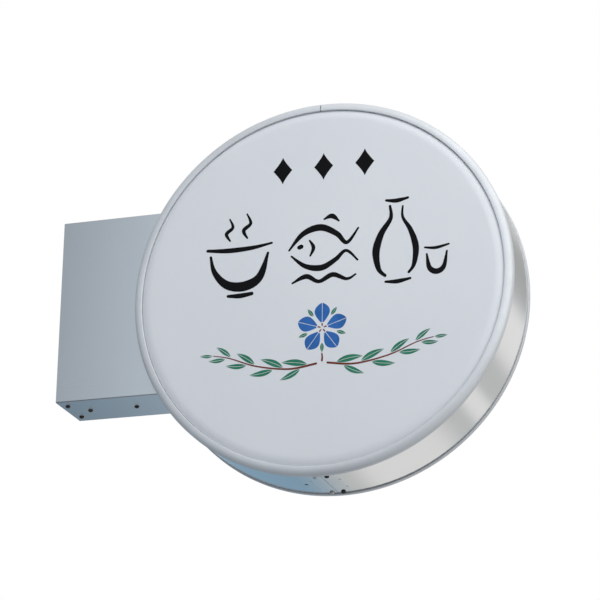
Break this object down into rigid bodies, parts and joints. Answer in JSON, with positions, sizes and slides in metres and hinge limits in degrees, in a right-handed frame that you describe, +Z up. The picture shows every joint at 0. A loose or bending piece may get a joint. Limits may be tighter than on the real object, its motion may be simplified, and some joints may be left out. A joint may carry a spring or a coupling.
{
  "type": "round projecting light box sign",
  "caption": "Round double-faced light-box sign on a wall-mounted box arm; hinged ring-framed acrylic faces, twist-in LED tubes inside.",
  "frame": {"origin": "centre of the wall pan's back face, where it meets the wall, midway between the four anchor holes", "axes": "+X out from the wall towards the drum, front face towards -Y, +Z up"},
  "size_m": [0.73, 0.13, 0.602],
  "materials": {
    "band_aluminium": "satin brushed along the roll",
    "box_aluminium": "satin anodised",
    "ring_trim": "white satin powder coat",
    "face_acrylic": "opal, semi-gloss",
    "zinc_steel": "zinc plated",
    "arm_steel": "grey primer",
    "screw_dark": "weathered stainless",
    "rubber_grey": "matt",
    "moulded_white": "matt",
    "lamp_diffuser": "frosted",
    "led_board": "solder mask",
    "brass_nickel": "bright",
    "wire_white": "matt",
    "wire_earth": "matt",
    "vinyl_black": "cut film",
    "vinyl_green": "cut film",
    "vinyl_brown": "cut film",
    "vinyl_blue": "cut film"
  },
  "bodies": {
    "frame": {"wall_pan": "zinc_steel", "wall_grommet": "rubber_grey", "box_sleeve": "box_aluminium", "sleeve_screws": "screw_dark", "arm_upper": "arm_steel", "arm_lower": "arm_steel", "arm_screws": "screw_dark", "drum_band": "band_aluminium", "band_grommet": "rubber_grey", "butt_strap": "zinc_steel", "strap_rivets": "band_aluminium", "drum_cleats": "zinc_steel", "cleat_screws": "zinc_steel", "post_left": "zinc_steel", "post_right": "zinc_steel", "post_screws": "zinc_steel", "lampholders": "moulded_white", "holder_screws": "zinc_steel", "power_tray": "zinc_steel", "tray_screws": "zinc_steel", "power_supply": "moulded_white", "terminal_block": "moulded_white", "earth_stud": "brass_nickel", "mains_lead": "wire_white", "earth_lead": "wire_earth", "lamp_loom": "wire_white", "loom_clips": "rubber_grey", "gasket_front": "rubber_grey", "gasket_rear": "rubber_grey", "hinge_fixed_front": "zinc_steel", "hinge_fixed_rear": "zinc_steel", "hinge_pin_front": "zinc_steel", "hinge_pin_rear": "zinc_steel", "hinge_rivets": "band_aluminium"},
    "front_cover": {"front_ring": "ring_trim", "front_face": "face_acrylic", "front_face_seal": "rubber_grey", "front_clips": "zinc_steel", "hinge_moving_front": "zinc_steel", "front_tab": "zinc_steel", "front_cover_screws": "screw_dark"},
    "rear_cover": {"rear_ring": "ring_trim", "rear_face": "face_acrylic", "rear_face_seal": "rubber_grey", "rear_clips": "zinc_steel", "hinge_moving_rear": "zinc_steel", "rear_tab": "zinc_steel", "rear_cover_screws": "screw_dark"},
    "lamp_1": {"lamp_1_tube": "lamp_diffuser", "lamp_1_caps": "moulded_white", "lamp_1_board": "led_board"},
    "lamp_2": {"lamp_2_tube": "lamp_diffuser", "lamp_2_caps": "moulded_white", "lamp_2_board": "led_board"},
    "lamp_3": {"lamp_3_tube": "lamp_diffuser", "lamp_3_caps": "moulded_white", "lamp_3_board": "led_board"}
  },
  "joints": [
    {"name": "front_cover_hinge", "type": "hinge", "parent": "frame", "child": "front_cover", "pos_m": [0.43, -0.0516, 0.299], "axis": [-1, 0, 0], "range_deg": [0, 90]},
    {"name": "rear_cover_hinge", "type": "hinge", "parent": "frame", "child": "rear_cover", "pos_m": [0.43, 0.0516, 0.299], "axis": [1, 0, 0], "range_deg": [0, 90]},
    {"name": "lamp_1_twist", "type": "hinge", "parent": "frame", "child": "lamp_1", "pos_m": [0.43, 0, 0.09], "axis": [1, 0, 0], "range_deg": [0, 90]},
    {"name": "lamp_2_twist", "type": "hinge", "parent": "frame", "child": "lamp_2", "pos_m": [0.43, 0, 0], "axis": [1, 0, 0], "range_deg": [0, 90]},
    {"name": "lamp_3_twist", "type": "hinge", "parent": "frame", "child": "lamp_3", "pos_m": [0.43, 0, -0.09], "axis": [1, 0, 0], "range_deg": [0, 90]}
  ]
}
